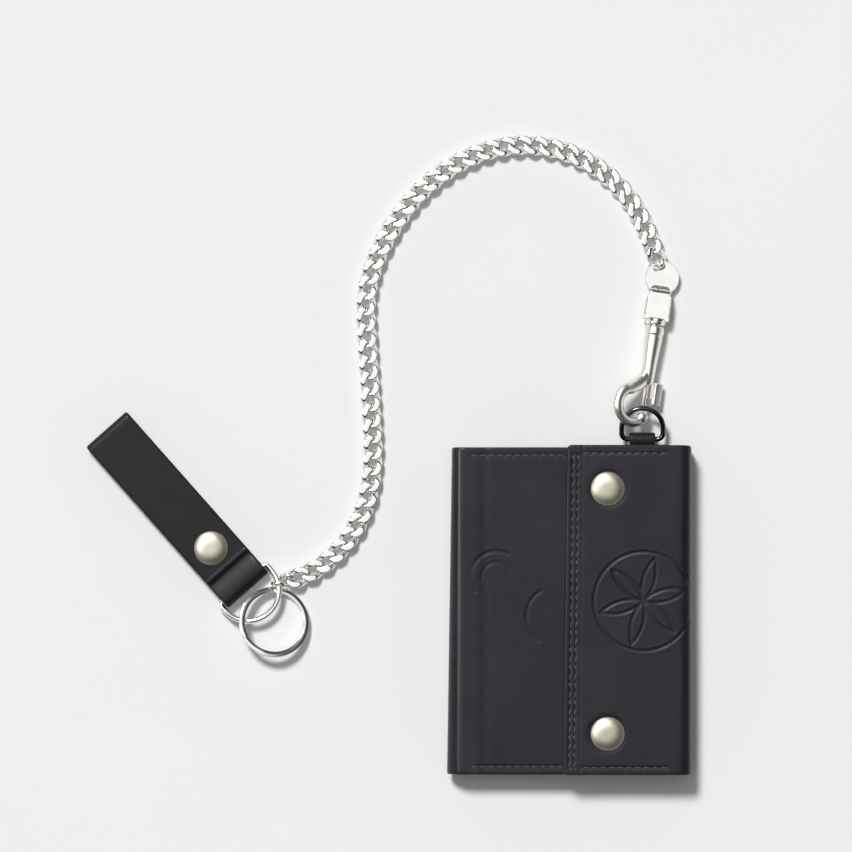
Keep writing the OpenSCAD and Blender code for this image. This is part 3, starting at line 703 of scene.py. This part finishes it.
# ================================================================ rings, tab and snap hook
def d_path(w, h, foot, steps=40):
    """a D: a bar along Y through the origin and a bow towards +X"""
    r = w / 2
    p = [(0, y) for y in np.linspace(-r + foot, r - foot, 10)]
    p += [(foot - foot * math.cos(a), r - foot + foot * math.sin(a)) for a in np.linspace(0, pi / 2, 7)[1:]]
    p += [(x, r) for x in np.linspace(foot, h - r, 6)[1:-1]] if h - r > foot + 0.5 else []
    p += [(h - r + r * math.sin(a), r * math.cos(a)) for a in np.linspace(0, pi, steps)]
    p += [(x, -r) for x in np.linspace(h - r, foot, 6)[1:-1]] if h - r > foot + 0.5 else []
    p += [(foot - foot * math.sin(a), -r + foot - foot * math.cos(a)) for a in np.linspace(0, pi / 2, 7)[:-1]]
    return np.array([(x, y, 0) for x, y in p], float)


def rot(axis, deg):
    return np.array(Matrix.Rotation(math.radians(deg), 4, axis), float)


def move(x, y, z):
    return np.array(Matrix.Translation((x, y, z)), float)


tab_pivot = np.array([25.5, 57.5 + 2.35 + 0.5, 5.0])
ring_m = move(*tab_pivot) @ rot("X", 13.5) @ rot("Z", 90)
b = Build()
tube(b, d_path(14.6, 11.2, 2.2), 0.9, closed=True)
b.piece("wallet_d_ring", "wallet_ring", "black_nickel", M_BLACK, "wallet_ring", matrix=ring_m)


def strip(build, path, width, thick, r=None, across=(1, 0, 0), material=0, edge=None, top=None):
    """a strap of leather along path, in a plane square to across"""
    p = np.array(path, float)
    t = np.gradient(p, axis=0)
    t /= np.linalg.norm(t, axis=1)[:, None]
    ac = np.array(across, float)
    nrm = np.cross(t, ac)
    w = np.broadcast_to(np.asarray(width, float), (len(p),))
    r = thick * 0.42 if r is None else r
    rings = []
    for i in range(len(p)):
        hw = w[i] / 2
        u = spaced(-hw, hw, r, r, hw / 6)
        u = np.interp(np.linspace(0, 1, 27), np.linspace(0, 1, len(u)), u)
        d = np.minimum(u + hw, hw - u)
        drop = drop_of(d, r)
        lift = top(i / (len(p) - 1), u) if top else 0 * u
        up = p[i] + u[:, None] * ac + (thick / 2 - drop + lift)[:, None] * nrm[i]
        dn = p[i] + u[::-1, None] * ac - (thick / 2 - drop[::-1])[:, None] * nrm[i]
        rings.append(np.concatenate([up, dn]))
    m = len(rings[0])
    v = np.array(rings).reshape(-1, 3)
    f = grid_faces(len(p), m, wrap_m=True)
    build.add(v, f, material)
    k = len(build.v) - len(v)
    build.f.append(tuple(k + j for j in range(m))[::-1])
    build.f.append(tuple(k + (len(p) - 1) * m + j for j in range(m)))
    build.m.extend([material if edge is None else edge] * 2)


tl = 1.2
tab_foot = 45.2
loop_r = 0.9 + 0.25 + tl / 2
py, pz = tab_pivot[1], tab_pivot[2]
path = [(tab_pivot[0], y, pz - tl / 2) for y in np.linspace(tab_foot, py - 4, 8)]
path += [(tab_pivot[0], py - 2.0, pz - loop_r * 0.8), (tab_pivot[0], py - 1.0, pz - loop_r * 0.97)]
path += [(tab_pivot[0], py + loop_r * math.sin(a), pz - loop_r * math.cos(a))
         for a in np.linspace(0.05, pi - 0.05, 15)]
path += [(tab_pivot[0], py - 1.0, pz + loop_r * 0.97), (tab_pivot[0], py - 2.0, pz + loop_r * 0.8)]
path += [(tab_pivot[0], y, pz + tl / 2) for y in np.linspace(py - 4, tab_foot, 8)]
b = Build()
strip(b, path, 9.0, tl, edge=1)
b.piece("ring_tab_leather", "back", "black_leather", [M_STRAP, M_EDGE], "ring_tab")

# the snap's frame, the same as in the part's source
disc_c = np.array([32.6, 117.2, 2.55])
yaw, pitch_up, roll = -8.5, 4.0, 31.0
ax = np.array([-math.sin(math.radians(yaw)) * math.cos(math.radians(pitch_up)),
               math.cos(math.radians(yaw)) * math.cos(math.radians(pitch_up)),
               -math.sin(math.radians(pitch_up))])
eye_leg, eye_gap, eye_band, slot_reach = 11.6, 2.6, 0.9, 4.0
origin = disc_c - (eye_leg + eye_gap / 2 + eye_band / 2 + slot_reach) * ax
on_axis = move(*origin) @ rot("Z", yaw) @ rot("X", -pitch_up)
in_hook = on_axis @ rot("Y", roll)

crook_x, crook_y, crook_r = -4.3, -28.5, 6.0
tip_a = 316


def crook(a, r=crook_r):
    return (crook_x + r * math.cos(math.radians(a)), crook_y + r * math.sin(math.radians(a)), 0)


def remeshed(build, voxel, smooth, factor=0.5, cutters=None):
    """joins overlapping closed shapes into one cast-looking skin"""
    me = bpy.data.meshes.new("tmp")
    me.from_pydata([tuple(p) for p in build.v], [], build.f)
    ob = bpy.data.objects.new("tmp", me)
    bpy.context.scene.collection.objects.link(ob)
    rm = ob.modifiers.new("r", "REMESH")
    rm.mode, rm.voxel_size = "VOXEL", voxel
    sm = ob.modifiers.new("s", "SMOOTH")
    sm.iterations, sm.factor = smooth, factor
    tool = None
    if cutters:
        tm = bpy.data.meshes.new("tool")
        tm.from_pydata([tuple(p) for p in cutters.v], [], cutters.f)
        tool = bpy.data.objects.new("tool", tm)
        bpy.context.scene.collection.objects.link(tool)
        bo = ob.modifiers.new("b", "BOOLEAN")
        bo.operation, bo.object, bo.solver = "DIFFERENCE", tool, "EXACT"
        bo.use_self = True
    dg = bpy.context.evaluated_depsgraph_get()
    ev = ob.evaluated_get(dg).to_mesh()
    v = np.zeros(len(ev.vertices) * 3)
    ev.vertices.foreach_get("co", v)
    f = [tuple(p.vertices) for p in ev.polygons]
    ob.evaluated_get(dg).to_mesh_clear()
    bpy.data.objects.remove(ob)
    if tool:
        bpy.data.objects.remove(tool)
    out = Build()
    out.add(v.reshape(-1, 3), f)
    return out


raw = Build()
collar = [(3.0, 0.0), (3.4, -0.4), (3.4, -2.6), (3.1, -3.2), (3.1, -3.6), (3.25, -4.0)]
stem = [(2.85, -9.0), (2.5, -14.0), (2.35, -18.0), (2.25, -20.2), (1.9, -20.9)]
lathe(raw, [(0, 0.0)] + collar + stem + [(0.0, -20.9)], along=1, sides=48)
bend = [(0.0, -12.5, 0), (-0.15, -15.0, 0), (-0.6, -17.2, 0), (-1.8, -19.4, 0), (-3.9, -21.4, 0),
        (-6.2, -22.9, 0)]
arm = bend + [crook(a, crook_r + 0.3) for a in np.linspace(128, tip_a, 34)]
s = np.linspace(0, 1, len(arm))
rad = np.interp(s, [0, 0.08, 0.16, 0.3, 0.5, 0.62, 1], [2.3, 2.35, 2.25, 1.95, 1.85, 1.7, 1.6])
tube(raw, arm, rad, sides=24, up=(0, 0, 1), flatten=0.88)
tip = crook(tip_a)
knob = [(0, -1.7), (1.2, -1.5), (1.9, -0.9), (2.2, 0.0), (2.25, 0.7), (2.1, 1.2), (1.7, 1.45), (0, 1.5)]
lathe(raw, knob[::-1], tip, sides=32, along=1)
cut = Build()
slab(cut, 0.4, 5.0, -22.5, -18.0, -1.05, 1.05, r=0.1, step=2)
tube(cut, [(0, -23, 0), (0, -18, 0), (0, -12.2, 0)], 0.86, sides=24, up=(1, 0, 0))
tube(cut, [(0, -12.6, 0), (0, -9, 0), (0, -4.5, 0)], 1.28, sides=24, up=(1, 0, 0))
body = remeshed(raw, 0.16, 6, cutters=cut)
body.piece("snap_hook", "hook", "bright_nickel", M_CAST, "hook_body", matrix=in_hook)

# sliding bolt: rod and ribbed thumb tab
bolt_end = tip[1] + 1.85
b = Build()
bolt_r, bolt_head = 0.75, -12.4
rod = [(0, bolt_end), (bolt_r - 0.2, bolt_end), (bolt_r, bolt_end + 0.2), (bolt_r, bolt_head), (0, bolt_head)]
lathe(b, rod[::-1], along=1, sides=24)
ty = bolt_end + 3.2


def ribs(X, Y):
    return -0.42 * np.clip(np.cos((Y - ty - 1.4) / 1.8 * 2 * pi), 0, 1) ** 1.5 * (np.abs(X) < 1.55)


part = Build()
slab(part, -1.6, 1.6, ty, ty + 8, 0, 3.2, r=0.45, step=0.2, top=ribs, corner=(0.5,) * 4)
turned = np.array(part.v)[:, [2, 1, 0]] * np.array([1, 1, -1]) + np.array([2.9, 0, 0])
b.add(turned, part.f)
part = Build()
slab(part, 0, 3.4, ty + 0.2, ty + 2.4, -0.8, 0.8, r=0.3, step=1)
b.add(part.v, part.f)
b.piece("snap_bolt", "bolt", "bright_nickel", M_CAST, "hook_bolt", matrix=in_hook, sharp=55)

# coil spring round the bolt's head, inside the stem
b = Build()
turn = np.linspace(0, 2 * pi * 9, 200)
coil_r, coil_l = 1.02, 7.6
helix = np.stack([coil_r * np.cos(turn), -12.3 + coil_l * turn / turn[-1], coil_r * np.sin(turn)], -1)
tube(b, helix, 0.16, sides=8, up=(0, 1, 0))
b.piece("coil_spring", "hook", "spring_steel", M_SPRING, "bolt_spring", matrix=in_hook)

# swivel eye: one wide band bent over a bar, on a stepped collar
b = Build()
ra = eye_gap / 2 + eye_band / 2
path, wide = [], []
for y in np.linspace(2.2, eye_leg, 22):
    path.append((0, y, ra))
for a in np.linspace(0, pi, 17)[1:-1]:
    path.append((0, eye_leg + ra * math.sin(a), ra * math.cos(a)))
for y in np.linspace(eye_leg, 2.2, 22):
    path.append((0, y, -ra))


def eye_width(y):
    ys = [2.0, 3.4, eye_leg - 3.0, eye_leg - 1.6, eye_leg - 0.4, eye_leg + 3]
    return float(np.interp(y, ys, [7.4, 8.7, 8.7, 8.5, 7.4, 6.2]))


wide = [eye_width(p[1]) for p in path]
strip(b, path, wide, eye_band, r=0.4, across=(1, 0, 0),
      top=lambda q, u: -0.75 * np.clip((np.abs(u) / max(1e-6, np.abs(u).max()) - 0.55) / 0.45, 0, 1) ** 2)
slab(b, -4.6, 4.6, 2.0, 3.9, -1.5, 1.5, r=0.3, step=1)
eye_foot = [(0, 0.4), (3.1, 0.4), (3.4, 0.7), (3.4, 1.5), (3.7, 1.7), (3.7, 2.5), (3.3, 2.8), (0, 2.8)]
lathe(b, eye_foot[::-1], along=1, sides=48)
lathe(b, [(0, -3.4), (1.85, -3.4), (1.85, -2.4), (1.4, -2.4), (1.4, 0.5), (0, 0.5)][::-1], along=1, sides=32)
b.piece("swivel_eye_band", "eye", "bright_nickel", M_NICKEL, "swivel_eye", matrix=on_axis, sharp=50)

# ================================================================ chain
PITCH, WIRE, LINK_W, SLACK = 5.65, 1.6, 6.0, 0.3
LA, LB = (PITCH + WIRE + SLACK) / 2, (LINK_W - WIRE) / 2
RUNS = [(1, 0), (3, 4), (12, 7.1), (5, 5.4), (4, 4.2), (4, 6.6), (7, 0), (3, -3.5), (4, -7), (5, -8.6)]
TURNS = [a for n, a in RUNS for _ in range(n)]
COUNT, PER = 48, 3
Z_CHAIN = 2.45
heads = [106.0]
for k in range(1, COUNT):
    heads.append(heads[-1] + TURNS[k])
slopes = [max(0, k - COUNT + PER + 1) * 3.0 for k in range(COUNT)]


def ahead(a, up=0.0):
    a, up = math.radians(a), math.radians(up)
    return np.array([math.cos(a) * math.cos(up), math.sin(a) * math.cos(up), math.sin(up)])


start = disc_c + slot_reach * ahead(heads[0])
places = [np.array([start[0], start[1], Z_CHAIN]) + (LA - 0.43) * ahead(heads[0])]
for k in range(1, COUNT):
    places.append(places[-1] + PITCH / 2 * (ahead(heads[k - 1], slopes[k - 1]) + ahead(heads[k], slopes[k])))
LINK_ROLL = [(-1, -45), (-0.42, -27.6), (0, 0), (0.42, 27.6), (1, 45)]
DISC_ROLL = [(-1, -62), (-0.7, -60), (-0.42, -48), (0, 0), (0.42, 27.6), (1, 45)]
RING_ROLL = [(-1, -45), (-0.42, -20), (0, 40), (0.3, 88), (1, 88)]


def link_mesh(profile, filed, fat=1.13):
    """a twisted loop of round wire, filed flat above and below"""
    flat = [(LA - LB + LB * math.cos(a), LB * math.sin(a)) for a in np.linspace(-pi / 2, pi / 2, 17)]
    flat += [(x, LB) for x in np.linspace(LA - LB, -LA + LB, 10)[1:-1]]
    flat += [(-LA + LB + LB * math.cos(a), LB * math.sin(a)) for a in np.linspace(pi / 2, 3 * pi / 2, 17)]
    flat += [(x, -LB) for x in np.linspace(-LA + LB, LA - LB, 10)[1:-1]]
    xs, ts = zip(*profile)
    fine = np.linspace(-1, 1, 81)
    soft = np.interp(fine, xs, ts)
    for _ in range(3):
        soft[1:-1] = (soft[:-2] + 2 * soft[1:-1] + soft[2:]) / 4
    c = []
    for x, y in flat:
        t = math.radians(float(np.interp(x / LA, fine, soft)))
        c.append((x, y * math.cos(t), y * math.sin(t)))
    c = np.array(c)
    t = np.roll(c, -1, 0) - np.roll(c, 1, 0)
    t /= np.linalg.norm(t, axis=1)[:, None]
    outward = c - np.stack([np.clip(c[:, 0], -LA + LB, LA - LB), 0 * c[:, 0], 0 * c[:, 0]], -1)
    outward -= (outward * t).sum(1)[:, None] * t
    outward /= np.linalg.norm(outward, axis=1)[:, None]
    other = np.cross(t, outward)
    sides = 14
    a = np.linspace(0, 2 * pi, sides, endpoint=False)
    arm = np.abs(np.array(flat)[:, 1] / LB) ** 2
    across = (WIRE / 2 * fat + 0.30 * arm * (fat > 1))[:, None, None]
    c = c + 0.12 * arm[:, None] * outward * (fat > 1)
    v = c[:, None] + across * np.cos(a)[None, :, None] * outward[:, None] \
        + WIRE / 2 * fat * np.sin(a)[None, :, None] * other[:, None]
    v = v.reshape(-1, 3)
    if filed:
        z = v[:, 2]
        over = np.abs(z) - filed
        v[:, 2] = np.where(over > 0, np.sign(z) * (filed + over * 0.12), z)
    return v, grid_faces(len(c), sides, wrap_n=True, wrap_m=True, flip=True)


normal_link = link_mesh(LINK_ROLL, 0.95)
for n in range(COUNT // PER):
    b = Build()
    for k in range(n * PER, n * PER + PER):
        v, f = normal_link
        if k == 0:
            v, f = link_mesh(DISC_ROLL, 0)
        if k == COUNT - 1:
            v, f = link_mesh(RING_ROLL, 0, fat=1.0)
        m = move(*places[k]) @ rot("Z", heads[k]) @ rot("Y", -slopes[k])
        b.add(v @ m[:3, :3].T + m[:3, 3], f)
    b.piece(f"links_{n + 1}", f"chain_{n + 1}", "bright_nickel", M_NICKEL, f"chain_{n + 1}")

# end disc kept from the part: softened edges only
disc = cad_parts["end_disc"]
softened = [("weld", "WELD", {"merge_threshold": 0.000005}),
            ("edge", "BEVEL", {"width": 0.00014, "segments": 3, "angle_limit": 0.5})]
for mod_name, kind, props in softened:
    mod = disc.modifiers.new(mod_name, kind)
    for k, x in props.items():
        setattr(mod, k, x)

# ================================================================ belt end
last = places[-1]
belt_wire, belt_w = 2.0, 21.8
hold = last + (LA - WIRE / 2 - belt_wire / 2 - 0.25) * ahead(heads[-1], slopes[-1])
belt_bearing = 194
belt_c = hold + belt_w / 2 * ahead(belt_bearing)
strap_a = -48.5
pin_r = belt_wire / 2 + 0.2 + 1.8
hold_x = belt_w / 2 * math.cos(math.radians(belt_bearing - 180 - strap_a))
tilt = math.degrees(math.atan((hold[2] - pin_r) / (hold_x + pin_r)))
in_belt = move(belt_c[0], belt_c[1], 0) @ rot("Z", strap_a)
b = Build()
tube(b, d_path(belt_w, belt_w / 2 + pin_r, 1.2, steps=64), belt_wire / 2, closed=True)
on_pin = in_belt @ move(-pin_r, 0, pin_r) @ rot("Y", -tilt)
b.piece("belt_d_ring", "belt_ring", "bright_nickel", M_NICKEL, "belt_ring", matrix=on_pin)

key_tilt = math.degrees(math.asin((2 * 0.9 + belt_wire + 2 * 0.4) / 16.7))
key_z = pin_r + (7.3 + pin_r) * math.tan(math.radians(tilt))
key_m = move(belt_c[0] + 9.0, belt_c[1] - 11.2, key_z) @ rot("Z", 38) @ rot("Y", key_tilt)
kr, kb, kt = 11.5, 2.0, 0.88


def split_ring(build):
    n = 260
    th = np.radians(np.linspace(200, 200 + 690, n))
    deg = np.degrees(th) - 200
    u = np.clip((deg - 315) / 60, 0, 1)
    z = -0.45 + 0.9 * u * u * (3 - 2 * u)
    rings = []
    sec = []
    r = 0.22
    for sx, sz in ((1, -1), (1, 1), (-1, 1), (-1, -1)):
        base = math.atan2(sz, sx)
        for a in np.linspace(-pi / 4, pi / 4, 4):
            sec.append((sx * (kb / 2 - r) + r * math.cos(base + a),
                        sz * (kt / 2 - r) + r * math.sin(base + a)))
    for t, zz in zip(th, z):
        rings.append([((kr + p) * math.cos(t), (kr + p) * math.sin(t), zz + q) for p, q in sec])
    m = len(sec)
    f = grid_faces(n, m, wrap_m=True, flip=True)
    f += [tuple(range(m)), tuple((n - 1) * m + i for i in range(m - 1, -1, -1))]
    build.add(np.array(rings).reshape(-1, 3), f)


b = Build()
split_ring(b)
b.piece("split_key_ring", "key_ring", "bright_nickel", M_NICKEL, "key_ring", matrix=key_m, sharp=60)

# strap: the back layer runs under, round the ring's bar and back over itself
strap_l, sw, st = 75.8, 19.0, 1.8
belt_snap_x = -19.9
top_z = 4.5
mid = top_z / 2
cr = pin_r - st / 2


def bend_path(sign):
    """the far end's quarter bend, from the middle height to the layer's own height"""
    z_mid, z_lay = mid - sign * 0.06, (st / 2 if sign > 0 else top_z - st / 2)
    R = abs(z_mid - z_lay)
    x0 = -strap_l + st / 2
    quarter = np.linspace(0, pi / 2, 7)
    return [(x0 + R * (1 - math.cos(a)), 0, z_mid - sign * R * math.sin(a)) for a in quarter]


path = bend_path(1)
path += [(x, 0, st / 2) for x in np.linspace(path[-1][0] + 1.5, -pin_r - 1.0, 24)]
path += [(-pin_r + cr * math.sin(a), 0, pin_r - cr * math.cos(a)) for a in np.linspace(0, pi * 0.93, 22)]
path += [(-6.0, 0, 4.65), (-7.6, 0, 4.1), (-9.2, 0, 3.75), (-10.95, 0, 3.62)]
b = Build()
strip(b, path, sw, st, across=(0, -1, 0), edge=1)
b.piece("strap_back_leather", "strap", "strap_leather", [M_STRAP, M_EDGE], "strap_back", matrix=in_belt)
path = bend_path(-1)
x_end = -11.2
path += [(x, 0, top_z - st / 2) for x in np.linspace(path[-1][0] + 1.5, x_end, 40)]
b = Build()
strip(b, path, sw, st, across=(0, 1, 0), edge=1)
b.piece("strap_front_leather", "strap_front", "strap_leather", [M_STRAP, M_EDGE], "strap_front",
        matrix=in_belt)
b = Build()
lathe(b, cap_profile(cap_r, cap_h), (belt_snap_x, 0, top_z - 0.06))
b.piece("strap_cap", "strap_front", "satin_nickel", M_SATIN, "belt_cap", matrix=in_belt, sharp=60)
b = Build()
lathe(b, socket_profile(3.3, 1.6), (belt_snap_x, 0, top_z - st))
b.piece("strap_socket", "strap_front", "satin_nickel", M_SATIN, "belt_socket", matrix=in_belt, sharp=50)
b = Build()
lathe(b, stud_profile(1.2), (belt_snap_x, 0, st))
b.piece("strap_stud", "strap", "satin_nickel", M_SATIN, "belt_stud", matrix=in_belt, sharp=50)

# ================================================================ CAD nodes that stay
keep = {"end_disc": M_NICKEL, "stud_rivets": M_SATIN, "belt_rivet": M_SATIN}
for name, mat in keep.items():
    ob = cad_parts[name]
    if ob.material_slots:
        for s_ in ob.material_slots:
            s_.material = mat
    else:
        ob.data.materials.append(mat)

# ================================================================ floor, light and camera
me = bpy.data.meshes.new("floor")
F = 3.0
me.from_pydata([(-F, -F, 0), (F, -F, 0), (F, F, 0), (-F, F, 0)], [], [(0, 1, 2, 3)])
floor = bpy.data.objects.new("floor", me)
floor.location = (0, 0, -0.0002)
bpy.context.scene.collection.objects.link(floor)
m, t, bs, co = nodes_of("pale_floor", (0.80, 0.79, 0.79), rough=0.8, Specular_IOR_Level=0.2)
n = texture(t, "ShaderNodeTexNoise", co, 12, Detail=3.0)
pale = ramp(t, n.outputs["Fac"], [(0.2, (0.805, 0.795, 0.80)), (0.8, (0.815, 0.805, 0.81))])
t.links.new(pale, bs.inputs["Base Color"])
me.materials.append(m)
floor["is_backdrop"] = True

world = bpy.data.worlds.new("studio")
bpy.context.scene.world = world
world.use_nodes = True
wt = world.node_tree
wc = wt.nodes.new("ShaderNodeTexCoord")
wx = wt.nodes.new("ShaderNodeSeparateXYZ")
wt.links.new(wc.outputs["Generated"], wx.inputs[0])
sky = ramp(wt, wx.outputs["Z"], [(0.0, 1.0), (0.25, 0.6), (0.45, 0.08), (1.0, 0.03)])
wt.links.new(sky, wt.nodes["Background"].inputs["Color"])
wt.nodes["Background"].inputs["Strength"].default_value = 1.0


def area(name, place, aim, size, power, colour=(1, 1, 1)):
    d = bpy.data.lights.new(name, "AREA")
    d.shape, d.size, d.energy, d.color = "DISK", size, power, colour
    o = bpy.data.objects.new(name, d)
    o.location = place
    o.rotation_euler = (Vector(aim) - Vector(place)).to_track_quat("-Z", "Y").to_euler()
    bpy.context.scene.collection.objects.link(o)
    return o


view_c = Vector((-0.0507, 0.0650, 0.006))
area("overhead", view_c + Vector((-0.05, 0.08, 1.25)), view_c, 1.1, 3.0)
side = area("side_strip", view_c + Vector((-0.62, 0.0, 0.80)), view_c, 0.30, 3.0)
side.visible_diffuse = False
sun_d = bpy.data.lights.new("key", "SUN")
sun_d.energy, sun_d.angle = 3.0, math.radians(13)
sun = bpy.data.objects.new("key", sun_d)
sun.rotation_euler = Vector((-0.30, 0.60, 0.95)).to_track_quat("Z", "Y").to_euler()
bpy.context.scene.collection.objects.link(sun)
bpy.context.scene.view_settings.view_transform = "Standard"

cam_d = bpy.data.cameras.new("camera")
cam = bpy.data.objects.new("camera", cam_d)
cam_d.lens, cam_d.sensor_width = 250, 36
cam.location = view_c + Vector((0, 0, 0.300 * 250 / 36))
cam.rotation_euler = (0, 0, 0)
cam_d.clip_start, cam_d.clip_end = 0.01, 20
bpy.context.scene.collection.objects.link(cam)
bpy.context.scene.camera = cam

lo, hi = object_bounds()
